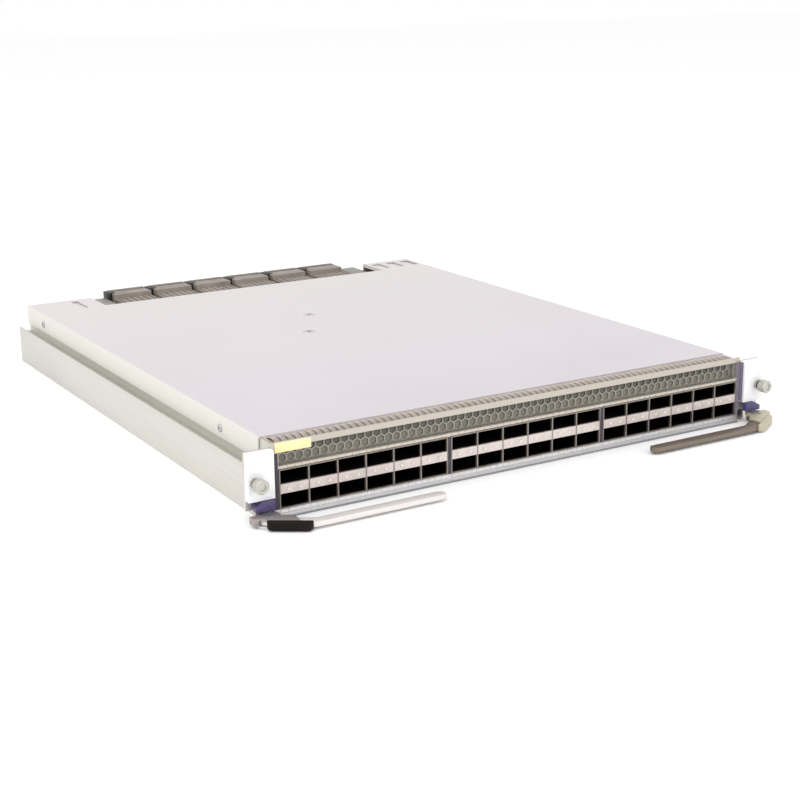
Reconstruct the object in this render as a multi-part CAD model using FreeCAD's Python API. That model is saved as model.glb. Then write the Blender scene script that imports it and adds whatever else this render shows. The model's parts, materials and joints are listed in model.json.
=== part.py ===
"""Switch line card with stacked port cages, ejector levers and rear fabric connectors.

The card lies on its floor. X runs across the face, -Y looks out at the operator, +Y goes
into the chassis and +Z is up. The origin is on the bottom face, on the centre line of the
body, in the plane of the port mouths. All sizes are millimetres.
"""
import FreeCAD, Part
import math
import os

from FreeCAD import Vector

# Sheet metal and fits
sheet = 1.0                 # thickness of the tray and the cover
bend_radius = 1.6           # outside radius of a folded edge
fit = 0.2                   # gap round a piece that drops into an opening
slide_fit = 0.06            # radial gap of a running pin or stem

# Port cages: two rows of ports in three ganged groups
port_width = 18.5
port_height = 8.6
port_rib = 1.0              # thickness of a divider between two columns
septum_height = 5.8         # bar between the upper and the lower row
cage_wall = 0.8
cage_depth = 50.0
cage_proud = 0.5            # how far the cage mouths stand out of the face
columns = 6                 # columns in one group
groups = 3
mullion_width = 2.0         # post of the face between two groups
port_shift = 0.8            # the port field sits a little right of the centre line
receptacle_length = 13.0    # edge connector at the back of each port
receptacle_gap = 1.0        # between the septum's end and the connector
card_slot_width = 15.0
card_slot_height = 1.8
card_slot_depth = 8.0
pipe_width = 2.0            # end of a light pipe, seen in the septum's face
pipe_height = 1.6
pipe_spread = 8.0           # distance between the two light pipes of one column
pipe_proud = 0.4

# Main board
standoff_height = 1.4
standoff_radius = 3.2       # to the corners of the hexagon
board_thickness = 1.6
board_rear_gap = 10.8       # from the board's rear edge to the rear of the body
board_edge_gap = 0.4        # to the tray's side walls

# Face
panel_thickness = 2.0
crossbar_height = 1.8       # bar between the ports and the vent
vent_height = 11.2
top_bar_height = 3.2
lip_depth = 5.0             # bottom lip in front of the face
lip_thickness = 1.4
flange_thickness = 1.2      # top flange that carries the cover's front edge
flange_lap = 9.0            # how far that flange runs under the cover
foot_length = 10.0          # bottom flange that rests on the tray's floor
foot_thickness = 1.0

# Vent grille
grille_thickness = 0.8
grille_recess = 5.0         # behind the face
grille_return = 8.0
hole_flats = 4.6            # across the flats of one hexagonal hole
hole_web = 1.0              # metal left between two holes

# Finger strip on the top flange
strip_thickness = 0.3
strip_foot = 2.0
strip_rise = 1.3
finger_pitch = 9.5
finger_slot = 1.2

# Label plate at the upper left corner of the face
label_width = 24.0
label_height = 6.0
label_thickness = 0.6
label_inset = 2.4           # from the body's side

# Body
card_depth = 446.8          # from the port plane to the rear edge of the cover
cover_front = 16.8
cover_flange = 14.4         # height of the cover's folded sides
side_margin = 3.0           # from the port field to the outside of the cover
wall_gap = 0.2              # between the tray's wall and the cover's folded side

# Guide rails along both lower sides
rail_width = 9.0
rail_height = 28.3
rail_shelf = 24.6           # floor of the groove along the rail's top
rail_wall = 1.4

# Rear connectors
fabric_count = 6
fabric_width = 32.6
fabric_gap = 4.6            # between two connectors
fabric_shift = 3.4
fabric_length = 34.8        # inside the body
fabric_reach = 21.2         # behind the body
fabric_top = 44.6
wafer_top = 41.0
wafer_slots = 6
wafer_slot_width = 1.4
wafer_slot_depth = 5.0
notch_margin = 2.2          # from the guide blocks to the ends of the cover's cut-out
guide_width = 16.0          # block with the socket for an alignment pin
guide_length = 16.8         # inside the body
guide_top = 40.0
guide_gap = 4.0             # from the connector row to a guide block
guide_reach = 15.2
guide_bore_radius = 3.6
guide_bore_depth = 28.0
guide_bore_height = 20.0
power_width = 32.0
power_height = 26.0
power_length = 21.8         # inside the body
power_reach = 15.2
power_gap = 5.0
power_offset = 150.3        # from the middle of the rear cut-out's row to this connector
blade_slot_width = 2.4
blade_slot_depth = 12.0
blade_count = 4
sill_height = 3.0           # rear wall of the tray under the connectors

# Slots in the cover over the rear corners
left_slot_x = -145.0
left_slot_width = 6.0
left_slot_length = 29.0
right_slot_x = 143.8
right_slot_pitch = 15.0
right_slot_count = 3
right_slot_width = 9.6
right_slot_length = 22.0
slot_margin = 6.0           # from a slot to the cover's rear edge

# Parts on the main board
chip_size = 45.0
chip_height = 2.6
sink_width = 70.0
sink_length = 110.0
sink_gap = 12.0             # between the second and the third heat sink
sink_bay = 60.0             # between the first and the second, where the pillars stand
sink_shift = 16.0           # middle of the row of sinks
sink_base = 4.4
sink_headroom = 4.0         # over the fins
sink_fins = 12
fin_thickness = 1.4
brick_width = 37.0
brick_length = 58.0
brick_height = 13.0
brick_count = 3
brick_pitch = 44.0
brick_x = 140.0
brick_gap = 17.0            # to the rear connectors
pillar_radius = 3.8         # to the corners of the hexagon
pillar_bore = 1.3
pillar_bore_depth = 12.0

# Screws of the cover
screw_radius = 1.2
screw_head_radius = 2.6
screw_head_height = 1.0
top_screw_inset = 10.0      # from the second heat sink to the rear screw
top_screw_step = 27.0       # from one top screw to the other, along X and along Y
top_screw_stagger = 51.0
top_screw_length = 8.0
side_screw_front = 70.0     # from the face to the first screw in the side
side_screw_rear = 40.0      # from the rear edge to the last one
side_screw_height = 37.0
side_screw_length = 5.0

# Ears at both ends of the face
ear_gap = 0.4               # from the body's side to the ear
ear_width = 17.0
ear_proud = 5.0
ear_wall = 1.5
ear_drop = 2.4              # the ear ends this far under the card's top
ear_bottom = 13.4
tab_bottom = 7.0            # lower edge of the face behind the ear

# Captive screws in the ears
captive_inset = 4.5         # from the ear's outer edge to the screw's axis
captive_height = 25.0
thread_radius = 1.5
thread_length = 5.8         # all of it stands behind the face at rest
thread_tip = 0.6
neck_radius = 1.15          # thinner shank, which leaves the screw captive
knob_radius = 4.4
knob_length = 6.0
knob_cap = 1.6
knob_wall = 0.8
knob_stand = 4.0            # gap between the knob and the ear, which is its travel
driver_slot = 1.0
driver_depth = 0.8
ferrule_radius = 3.2
ferrule_proud = 1.5
washer_thickness = 0.5
spring_wire = 0.5
spring_turns = 3.5
spring_steps = 8            # straight stretches in one turn

# Ejector levers
pivot_inset = 9.5           # from the ear's outer edge to the lever's pivot
pivot_forward = 10.0        # in front of the face
pivot_radius = 2.0
pivot_head_radius = 3.4
pivot_head_height = 0.8
tongue_radius = 7.6         # end of the lip under the lever's hub
lever_lift = 0.2            # running gap over the tongue
arm_thickness = 3.0
arm_width = 8.0
arm_front = 32.5            # in front of the face
arm_tip = 80.5              # from the centre line
arm_root_radius = 6.5
leg_width = 9.0
leg_angle = 33.2            # between the leg and the face
leg_offset = 8.1            # from the pivot to the leg's front edge
hub_length = 20.0           # how far the hub's cap runs along the leg
hub_radius = 7.5
hub_thickness = 1.4
claw_reach = 10.5
claw_width = 6.5
claw_depth = 3.6
bend_radius_inner = 7.0     # where the leg turns into the arm
grip_thickness = 4.0
grip_length = 27.5
grip_drop = 1.0             # the grip reaches lower than the arm
grip_rise = 0.2

# Release latches over the levers' hubs
latch_width = 12.6
latch_height = 6.0
latch_shoulder = 3.2        # height of the latch at its outer end
latch_depth = 4.3
latch_proud = 2.2           # in front of the ear
latch_gap = 0.3             # under the ear
latch_inset = 3.4           # from the ear's outer edge
latch_top_width = 7.6
stem_width = 4.4            # flat tongue behind the latch
stem_gap = 0.8              # from the rail's side to the tongue
stem_height = 2.6
stem_reach = 0.8            # behind the face at rest

# Places worked out from the sizes above
port_pitch = port_width + port_rib
group_width = columns * port_width + (columns - 1) * port_rib + 2 * cage_wall
group_pitch = group_width + mullion_width + 2 * fit
field_half = (groups * group_width + (groups - 1) * (mullion_width + 2 * fit)) / 2
body_half = port_shift + field_half + side_margin
tray_half = body_half - sheet - wall_gap
tray_inner = tray_half - sheet

board_bottom = sheet + standoff_height
board_top = board_bottom + board_thickness
lower_row = board_top + cage_wall
septum_bottom = lower_row + port_height
upper_row = septum_bottom + septum_height
cage_top = upper_row + port_height + cage_wall
window_bottom = board_top - fit
window_top = cage_top + fit
vent_bottom = window_top + crossbar_height
vent_top = vent_bottom + vent_height
card_height = vent_top + top_bar_height
flange_top = card_height - sheet
flange_bottom = flange_top - flange_thickness
wall_top = flange_top - wall_gap

tray_front = panel_thickness + fit
board_front = panel_thickness + 3 * fit
board_rear = card_depth - board_rear_gap
cage_front = -cage_proud
receptacle_front = cage_depth - cage_wall - receptacle_length
septum_rear = receptacle_front - receptacle_gap

fabric_front = card_depth - fabric_length
guide_front = card_depth - guide_length
power_front = card_depth - power_length
sink_y = (cage_depth + fabric_front) / 2
sink_row = 3 * sink_width + sink_gap + sink_bay
sink_1_x = sink_shift - sink_row / 2 + sink_width / 2
sink_2_x = sink_1_x + sink_width + sink_bay
sink_xs = (sink_1_x, sink_2_x, sink_2_x + sink_width + sink_gap)
brick_y = fabric_front - brick_gap - brick_length / 2
top_screw_x = sink_2_x - sink_width / 2 - top_screw_inset
top_screw_y = sink_y + top_screw_stagger + 6
top_screws = ((top_screw_x, top_screw_y),
              (top_screw_x - top_screw_step, top_screw_y - top_screw_stagger))
side_screw_ys = (side_screw_front, card_depth - side_screw_rear)
# The power connector has a fixed place, and the rest of the row follows it to the left.
power_x = fabric_shift + power_offset
guide_right_x = power_x - power_width / 2 - power_gap - guide_width / 2
fabric_pitch = fabric_width + fabric_gap
fabric_right = guide_right_x - guide_width / 2 - guide_gap
fabric_left = fabric_right - (fabric_count - 1) * fabric_pitch - fabric_width
guide_left_x = fabric_left - guide_gap - guide_width / 2
notch_x0 = guide_left_x - guide_width / 2 - notch_margin
notch_x1 = guide_right_x + guide_width / 2 + notch_margin

ear_inner = body_half + ear_gap
ear_outer = ear_inner + ear_width
ear_top = card_height - ear_drop
captive_x = ear_outer - captive_inset
pivot_x = ear_outer - pivot_inset
pivot_y = -pivot_forward
arm_bottom = lip_thickness + lever_lift
arm_top = arm_bottom + arm_thickness
hub_top = arm_top + hub_thickness


def box(x0, x1, y0, y1, z0, z1):
    """A block between two corners."""
    return Part.makeBox(x1 - x0, y1 - y0, z1 - z0, Vector(x0, y0, z0))


def prism(points, start, direction):
    """A closed outline, given as 3-D points, pushed along a direction."""
    corners = [Vector(*p) + start for p in points]
    face = Part.Face(Part.makePolygon(corners + corners[:1]))
    return face.extrude(direction)


def prism_z(outline, z0, z1):
    return prism([(x, y, 0) for x, y in outline], Vector(0, 0, z0), Vector(0, 0, z1 - z0))


def prism_y(outline, y0, y1):
    return prism([(x, 0, z) for x, z in outline], Vector(0, y0, 0), Vector(0, y1 - y0, 0))


def prism_x(outline, x0, x1):
    return prism([(0, y, z) for y, z in outline], Vector(x0, 0, 0), Vector(x1 - x0, 0, 0))


def rod_y(radius, x, z, y0, y1):
    return Part.makeCylinder(radius, y1 - y0, Vector(x, y0, z), Vector(0, 1, 0))


def rod_z(radius, x, y, z0, z1):
    return Part.makeCylinder(radius, z1 - z0, Vector(x, y, z0), Vector(0, 0, 1))


def hexagon(radius, x, y):
    """Corners of a regular hexagon in plan."""
    return [(x + radius * math.cos(k * math.pi / 3), y + radius * math.sin(k * math.pi / 3))
            for k in range(6)]


def joined(shapes):
    return shapes[0].fuse(list(shapes[1:])).removeSplitter()


def cut_all(shape, tools):
    return shape.cut(list(tools)).removeSplitter()


def sided(shape, side):
    """The right-hand shape itself, or its mirror image for the left end."""
    if side > 0:
        return shape
    return shape.mirror(Vector(0, 0, 0), Vector(1, 0, 0))


def folded_channel(half, base_z, edge_z, y0, y1):
    """A folded sheet: a flat web at base_z with two sides that end at edge_z.

    The web's outside is at base_z, so the sides go up from a tray and down from a cover.
    """
    up = 1 if edge_z > base_z else -1
    outer = bend_radius
    inner = bend_radius - sheet
    turn = math.sqrt(0.5)

    def corner(side, radius):
        centre_x = side * (half - outer)
        centre_z = base_z + up * outer
        start = Vector(centre_x, y0, centre_z - up * radius)
        middle = Vector(centre_x + side * turn * radius, y0, centre_z - up * turn * radius)
        end = Vector(centre_x + side * radius, y0, centre_z)
        return start, middle, end

    right_out = corner(1, outer)
    left_out = corner(-1, outer)
    right_in = corner(1, inner)
    left_in = corner(-1, inner)
    rim = [Vector(side * (half - inset), y0, edge_z)
           for side, inset in ((1, 0), (1, sheet), (-1, sheet), (-1, 0))]
    edges = [
        Part.LineSegment(left_out[0], right_out[0]),
        Part.Arc(*right_out),
        Part.LineSegment(right_out[2], rim[0]),
        Part.LineSegment(rim[0], rim[1]),
        Part.LineSegment(rim[1], right_in[2]),
        Part.Arc(right_in[2], right_in[1], right_in[0]),
        Part.LineSegment(right_in[0], left_in[0]),
        Part.Arc(*left_in),
        Part.LineSegment(left_in[2], rim[2]),
        Part.LineSegment(rim[2], rim[3]),
        Part.LineSegment(rim[3], left_out[2]),
        Part.Arc(left_out[2], left_out[1], left_out[0]),
    ]
    profile = Part.Wire([edge.toShape() for edge in edges])
    return Part.Face(profile).extrude(Vector(0, y1 - y0, 0))


def group_left(group):
    """X of the outer left side of one cage group."""
    return port_shift - field_half + group * group_pitch


def port_left(group, column):
    return group_left(group) + cage_wall + column * port_pitch


# Tray, cover and rails

def side_screw_places():
    return [(side, y) for side in (-1, 1) for y in side_screw_ys]


def side_rod(radius, side, y, x0, x1):
    """A rod across a side wall, between two distances from the centre line."""
    start = Vector(side * x0, y, side_screw_height)
    return Part.makeCylinder(radius, x1 - x0, start, Vector(side, 0, 0))


def base_tray():
    tray = folded_channel(tray_half, 0, wall_top, tray_front, card_depth)
    wall = box(-tray_inner, tray_inner, card_depth - sheet, card_depth, sheet, wall_top)
    openings = [
        box(notch_x0, notch_x1, card_depth - 2 * sheet, card_depth + sheet,
            sill_height, card_height),
        box(power_x - power_width / 2 - fit * 4, power_x + power_width / 2 + fit * 4,
            card_depth - 2 * sheet, card_depth + sheet, sill_height,
            board_top + power_height + fit * 4),
    ]
    tray = joined([tray, wall.cut(openings)])
    holes = [side_rod(screw_radius + slide_fit, side, y, tray_inner - sheet, body_half)
             for side, y in side_screw_places()]
    return cut_all(tray, holes)


def top_cover():
    cover = folded_channel(body_half, card_height, card_height - cover_flange,
                           cover_front, card_depth)
    rear = card_depth + sheet
    under = flange_top - sheet
    cuts = [box(notch_x0, notch_x1, fabric_front, rear, under, card_height + sheet)]
    slot_rear = card_depth - slot_margin
    cuts.append(box(left_slot_x - left_slot_width / 2, left_slot_x + left_slot_width / 2,
                    slot_rear - left_slot_length, slot_rear, under, card_height + sheet))
    for i in range(right_slot_count):
        x = right_slot_x + i * right_slot_pitch
        cuts.append(box(x - right_slot_width / 2, x + right_slot_width / 2,
                        slot_rear - right_slot_length, slot_rear, under, card_height + sheet))
    for x, y in top_screws:
        cuts.append(countersunk(x, y, slide_fit, sheet))
    cuts += [side_rod(screw_radius + slide_fit, side, y, tray_half, body_half + sheet)
             for side, y in side_screw_places()]
    return cut_all(cover, cuts)


def countersunk(x, y, gap, below):
    """Space of a flat-head screw whose head is flush with the cover."""
    head = Part.makeCone(screw_radius + gap, screw_head_radius + gap, screw_head_height,
                         Vector(x, y, card_height - screw_head_height))
    shank = rod_z(screw_radius + gap, x, y, flange_top - below, card_height)
    return joined([head, shank])


def cover_screws():
    screws = [countersunk(x, y, 0, top_screw_length) for x, y in top_screws]
    for side, y in side_screw_places():
        shank = side_rod(screw_radius, side, y, body_half - side_screw_length, body_half)
        head = prism_x(hexagon(screw_head_radius, y, side_screw_height), body_half,
                       body_half + screw_head_height)
        screws.append(joined([shank, sided(head, side)]))
    return Part.Compound(screws)


def cover_pillars():
    pillars = []
    for x, y in top_screws:
        pillar = prism_z(hexagon(pillar_radius, x, y), board_top, flange_top)
        bore = rod_z(pillar_bore, x, y, flange_top - pillar_bore_depth, flange_top)
        pillars.append(pillar.cut(bore))
    return Part.Compound(pillars)


def guide_rail(side):
    inner, outer = tray_half, tray_half + rail_width
    body = prism_y([(inner, 0), (outer, 0), (outer, rail_height),
                    (outer - rail_wall, rail_height), (outer - rail_wall, rail_shelf),
                    (inner, rail_shelf)], tray_front, card_depth)
    bore = box(inner + rail_wall, outer - rail_wall, 0, card_depth + sheet,
               rail_wall, rail_shelf - rail_wall)
    return sided(body.cut(bore), side)


# Face

def front_panel():
    face_half = body_half
    plate = box(-face_half, face_half, 0, panel_thickness, 0, card_height)
    tabs = [box(min(side * ear_outer, side * face_half), max(side * ear_outer, side * face_half),
                0, panel_thickness, tab_bottom, ear_top) for side in (-1, 1)]
    lip = box(-ear_outer + tongue_radius, ear_outer - tongue_radius, -lip_depth, panel_thickness,
              0, lip_thickness)
    tongues = []
    for side in (-1, 1):
        x = side * pivot_x
        tongues.append(rod_z(tongue_radius, x, pivot_y, 0, lip_thickness))
        tongues.append(box(x - tongue_radius, x + tongue_radius, pivot_y, 0, 0, lip_thickness))
    flange = box(-tray_inner + fit, tray_inner - fit, 0, cover_front + flange_lap,
                 flange_bottom, flange_top)
    foot = box(-tray_inner + fit, tray_inner - fit, 0, panel_thickness + foot_length,
               sheet, sheet + foot_thickness)
    panel = joined([plate] + tabs + [lip] + tongues + [flange, foot])

    through = panel_thickness + sheet
    cuts = []
    for group in range(groups):
        x = group_left(group)
        cuts.append(box(x - fit, x + group_width + fit, -sheet, through,
                        window_bottom, window_top))
    cuts.append(box(port_shift - field_half, port_shift + field_half, -sheet, through,
                    vent_bottom, vent_top))
    for side in (-1, 1):
        cuts.append(rod_z(pivot_radius + slide_fit, side * pivot_x, pivot_y, -sheet,
                          lip_thickness + sheet))
        cuts.append(rod_y(ferrule_radius + slide_fit, side * captive_x, captive_height,
                          -sheet, through))
        cuts.append(sided(stem_box(-sheet, through, fit), side))
    return cut_all(panel, cuts)


def vent_grille():
    half = tray_inner - fit
    rear = grille_recess + grille_thickness
    bottom = cage_top + fit
    plate = box(-half, half, grille_recess, rear, bottom, flange_bottom)
    back = box(-half, half, rear, rear + grille_return,
               flange_bottom - grille_thickness, flange_bottom)
    pitch = hole_flats + hole_web
    row_pitch = pitch * math.sqrt(0.75)
    rows = int((vent_height - hole_flats) / row_pitch) + 1
    across = int((2 * field_half - hole_web) / pitch)
    middle = (vent_bottom + vent_top) / 2
    corner = hole_flats / math.sqrt(3)
    cuts = []
    for row in range(rows):
        z = middle + (row - (rows - 1) / 2) * row_pitch
        for i in range(across - row % 2):
            x = port_shift + (i - (across - row % 2 - 1) / 2) * pitch
            outline = [(x + corner * math.sin(k * math.pi / 3),
                        z + corner * math.cos(k * math.pi / 3)) for k in range(6)]
            cuts.append(prism_y(outline, grille_recess - sheet, rear + sheet))
    plate = plate.cut(Part.Compound(cuts))
    return joined([plate, back])


def emi_finger_strip():
    """Sprung copper strip: two feet on the flange with arched fingers between them."""
    front = panel_thickness + fit
    rear = cover_front - fit
    top = flange_top + strip_rise
    thin = strip_thickness
    knee = (rear - front - 2 * strip_foot) / 4
    outline = [
        (front, flange_top), (front + strip_foot, flange_top),
        (front + strip_foot + knee, top - thin), (rear - strip_foot - knee, top - thin),
        (rear - strip_foot, flange_top), (rear, flange_top), (rear, flange_top + thin),
        (rear - strip_foot + thin, flange_top + thin), (rear - strip_foot - knee + thin, top),
        (front + strip_foot + knee - thin, top),
        (front + strip_foot - thin, flange_top + thin), (front, flange_top + thin),
    ]
    strip = prism_x(outline, -tray_inner + fit, tray_inner - fit)
    count = int(2 * tray_inner / finger_pitch)
    slots = []
    for i in range(count):
        x = (i - (count - 1) / 2) * finger_pitch
        slots.append(box(x - finger_slot / 2, x + finger_slot / 2,
                         front + strip_foot - thin, rear - strip_foot + thin,
                         flange_top - sheet, top + sheet))
    return strip.cut(Part.Compound(slots))


def label_plate():
    x = -body_half + label_inset
    return box(x, x + label_width, -label_thickness, 0, card_height - label_height, card_height)


# Ports

def port_cage(group):
    x = group_left(group)
    shell = box(x, x + group_width, cage_front, cage_depth, board_top, cage_top)
    inside = box(x + cage_wall, x + group_width - cage_wall, cage_front - sheet,
                 cage_depth - cage_wall, lower_row, cage_top - cage_wall)
    return shell.cut(inside)


def cage_dividers(group):
    plates = []
    for column in range(1, columns):
        x = port_left(group, column)
        plates.append(box(x - port_rib, x, cage_front, cage_depth - cage_wall,
                          lower_row, cage_top - cage_wall))
    return Part.Compound(plates)


def pipe_xs(group, column):
    middle = port_left(group, column) + port_width / 2
    return [middle - pipe_spread / 2, middle + pipe_spread / 2]


def pipe_box(x, y0, y1, gap):
    z = septum_bottom + septum_height / 2
    half_width = pipe_width / 2 + gap
    half_height = pipe_height / 2 + gap
    return box(x - half_width, x + half_width, y0, y1, z - half_height, z + half_height)


def cage_septums(group):
    bars = []
    for column in range(columns):
        x = port_left(group, column)
        bar = box(x, x + port_width, cage_front, septum_rear, septum_bottom, upper_row)
        holes = [pipe_box(px, cage_front - sheet, septum_rear + sheet, slide_fit)
                 for px in pipe_xs(group, column)]
        bars.append(bar.cut(holes))
    return Part.Compound(bars)


def light_pipes():
    front = cage_front - pipe_proud
    pipes = [pipe_box(x, front, septum_rear, 0)
             for group in range(groups) for column in range(columns)
             for x in pipe_xs(group, column)]
    return Part.Compound(pipes)


def port_connectors(group):
    """One stacked receptacle behind each column, with a card slot for either row."""
    blocks = []
    for column in range(columns):
        x = port_left(group, column)
        block = box(x + fit, x + port_width - fit, receptacle_front, cage_depth - cage_wall,
                    lower_row, cage_top - cage_wall)
        middle = x + port_width / 2
        slots = []
        for row_bottom in (lower_row, upper_row):
            z = row_bottom + port_height / 2
            slots.append(box(middle - card_slot_width / 2, middle + card_slot_width / 2,
                             receptacle_front - sheet, receptacle_front + card_slot_depth,
                             z - card_slot_height / 2, z + card_slot_height / 2))
        blocks.append(block.cut(slots))
    return Part.Compound(blocks)


# Inside

def main_board():
    half = tray_inner - board_edge_gap
    return box(-half, half, board_front, board_rear, board_bottom, board_top)


def board_standoffs():
    x_step = tray_inner - 6 * standoff_radius
    y_first = panel_thickness + foot_length + 2 * standoff_radius
    y_last = board_rear - 2 * standoff_radius
    y_step = (y_last - y_first) / 3
    posts = [prism_z(hexagon(standoff_radius, i * x_step, y_first + j * y_step),
                     sheet, board_bottom) for i in (-1, 0, 1) for j in range(4)]
    return Part.Compound(posts)


def switch_chips():
    chips = [box(x - chip_size / 2, x + chip_size / 2, sink_y - chip_size / 2,
                 sink_y + chip_size / 2, board_top, board_top + chip_height) for x in sink_xs]
    return Part.Compound(chips)


def heat_sink(number):
    x = sink_xs[number]
    base = board_top + chip_height
    fin_top = flange_top - sink_headroom
    pitch = (sink_width - fin_thickness) / (sink_fins - 1)
    left = x - sink_width / 2
    outline = [(left, base)]
    for i in range(sink_fins):
        fin = left + i * pitch
        if i:
            outline.append((fin, base + sink_base))
        outline.append((fin, fin_top))
        outline.append((fin + fin_thickness, fin_top))
        if i < sink_fins - 1:
            outline.append((fin + fin_thickness, base + sink_base))
    outline.append((left + sink_width, base))
    return prism_y(outline, sink_y - sink_length / 2, sink_y + sink_length / 2)


def power_bricks():
    bricks = []
    for i in range(brick_count):
        x = brick_x - i * brick_pitch
        bricks.append(box(x - brick_width / 2, x + brick_width / 2, brick_y - brick_length / 2,
                          brick_y + brick_length / 2, board_top, board_top + brick_height))
    return Part.Compound(bricks)


# Rear connectors

def fabric_connector(number):
    x0 = fabric_left + number * fabric_pitch
    x1 = x0 + fabric_width
    rear = card_depth + fabric_reach
    step = card_depth + sheet
    block = prism_x([(fabric_front, board_top), (rear, board_top), (rear, fabric_top),
                     (step, fabric_top), (step, wafer_top), (fabric_front, wafer_top)], x0, x1)
    pitch = fabric_width / wafer_slots
    cuts = []
    for i in range(wafer_slots):
        x = x0 + (i + 0.5) * pitch
        left, right = x - wafer_slot_width / 2, x + wafer_slot_width / 2
        cuts.append(box(left, right, rear - wafer_slot_depth, rear + sheet,
                        board_top + 2 * sheet, fabric_top - 2 * sheet))
        cuts.append(box(left, right, fabric_front - sheet, step, wafer_top - 2 * sheet,
                        wafer_top + sheet))
    return cut_all(block, cuts)


def guide_socket(x):
    rear = card_depth + guide_reach
    block = box(x - guide_width / 2, x + guide_width / 2, guide_front, rear,
                board_top, guide_top)
    bore = rod_y(guide_bore_radius, x, guide_bore_height, rear - guide_bore_depth, rear)
    return block.cut(bore)


def power_connector():
    x0 = power_x - power_width / 2
    rear = card_depth + power_reach
    block = box(x0, x0 + power_width, power_front, rear, board_top, board_top + power_height)
    pitch = power_width / blade_count
    cuts = []
    for i in range(blade_count):
        x = x0 + (i + 0.5) * pitch
        cuts.append(box(x - blade_slot_width / 2, x + blade_slot_width / 2,
                        rear - blade_slot_depth, rear + sheet,
                        board_top + 2 * sheet, board_top + power_height - 2 * sheet))
    return block.cut(cuts)


# Ears, captive screws and latches

def ear_bracket(side):
    block = box(ear_inner, ear_outer, -ear_proud, 0, ear_bottom, ear_top)
    hollow = box(ear_inner + ear_wall, ear_outer - ear_wall, ear_wall - ear_proud, sheet,
                 ear_bottom - sheet, ear_top - ear_wall)
    hole = rod_y(ferrule_radius + slide_fit, captive_x, captive_height, -2 * ear_proud, 0)
    return sided(cut_all(block, [hollow, hole]), side)


def turned_y(outline, x, z):
    """A turned piece: radii against Y, spun about an axis along Y."""
    points = [Vector(x + radius, y, z) for radius, y in outline]
    face = Part.Face(Part.makePolygon(points + points[:1]))
    return face.revolve(Vector(x, 0, z), Vector(0, 1, 0), 360)


def screw_ferrule(side):
    front = -ear_proud - ferrule_proud
    body = rod_y(ferrule_radius, captive_x, captive_height, front, panel_thickness)
    bore = rod_y(neck_radius + slide_fit, captive_x, captive_height, front - sheet,
                 panel_thickness + sheet)
    return sided(body.cut(bore), side)


knob_rear = -ear_proud - knob_stand
knob_front = knob_rear - knob_length
seat_y = knob_front + knob_cap
thread_front = panel_thickness + fit
thread_rear = thread_front + thread_length


def captive_screw(side):
    outline = [
        (0, knob_front), (knob_radius, knob_front), (knob_radius, knob_rear),
        (knob_radius - knob_wall, knob_rear), (knob_radius - knob_wall, seat_y),
        (neck_radius, seat_y), (neck_radius, thread_front), (thread_radius, thread_front),
        (thread_radius, thread_rear - thread_tip), (thread_radius - thread_tip, thread_rear),
        (0, thread_rear),
    ]
    screw = turned_y(outline, captive_x, captive_height)
    slot = box(captive_x - knob_radius, captive_x + knob_radius, knob_front - sheet,
               knob_front + driver_depth, captive_height - driver_slot / 2,
               captive_height + driver_slot / 2)
    return sided(screw.cut(slot), side)


def spring_washer(side):
    disc = rod_y(knob_radius - knob_wall - fit, captive_x, captive_height,
                 seat_y, seat_y + washer_thickness)
    bore = rod_y(neck_radius + slide_fit, captive_x, captive_height,
                 seat_y - sheet, seat_y + 2 * washer_thickness)
    return sided(disc.cut(bore), side)


def screw_spring(side):
    """A coil of square wire between the washer and the ferrule."""
    front = seat_y + washer_thickness + spring_wire / 2
    rear = -ear_proud - ferrule_proud - spring_wire / 2
    mean_radius = (neck_radius + knob_radius - knob_wall) / 2
    half = spring_wire / 2
    count = int(spring_turns * spring_steps)
    sections = []
    for i in range(count + 1):
        angle = 2 * math.pi * i / spring_steps
        y = front + (rear - front) * i / count
        corners = []
        for radius, shift in ((mean_radius - half, -half), (mean_radius + half, -half),
                              (mean_radius + half, half), (mean_radius - half, half)):
            corners.append(Vector(captive_x + radius * math.cos(angle), y + shift,
                                  captive_height + radius * math.sin(angle)))
        sections.append(Part.makePolygon(corners + corners[:1]))
    return sided(Part.makeLoft(sections, True, True), side)


def stem_box(y0, y1, gap):
    """The flat tongue that guides a latch, or its slot in the face."""
    x = tray_half + rail_width + stem_gap
    z = ear_bottom - latch_gap - latch_height / 2
    return box(x - gap, x + stem_width + gap, y0, y1,
               z - stem_height / 2 - gap, z + stem_height / 2 + gap)


def release_latch(side):
    outer = ear_outer - latch_inset
    inner = outer - latch_width
    top = ear_bottom - latch_gap
    bottom = top - latch_height
    front = -ear_proud - latch_proud
    button = prism_y([(inner, bottom), (outer, bottom), (outer, bottom + latch_shoulder),
                      (inner + latch_top_width, top), (inner, top)],
                     front, front + latch_depth)
    stem = stem_box(front + latch_depth, panel_thickness + stem_reach, 0)
    return sided(joined([button, stem]), side)


# Ejector levers

def lever_lines():
    """Unit vectors along the leg, away from the pivot, and out of its front edge."""
    angle = math.radians(leg_angle)
    along = Vector(-math.cos(angle), -math.sin(angle), 0)
    outward = Vector(math.sin(angle), -math.cos(angle), 0)
    return along, outward


def leg_point(offset, distance):
    """A point beside the leg: out from the pivot's line, and along it from the pivot."""
    along, outward = lever_lines()
    point = Vector(pivot_x, pivot_y, 0) + along * distance + outward * offset
    return point.x, point.y


def leg_point_at(offset, y):
    """Where the line at that offset crosses a given Y."""
    along, _ = lever_lines()
    start = leg_point(offset, 0)
    return leg_point(offset, (y - start[1]) / along.y)


def pivot_hole(z0, z1):
    return rod_z(pivot_radius + slide_fit, pivot_x, pivot_y, z0, z1)


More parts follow.
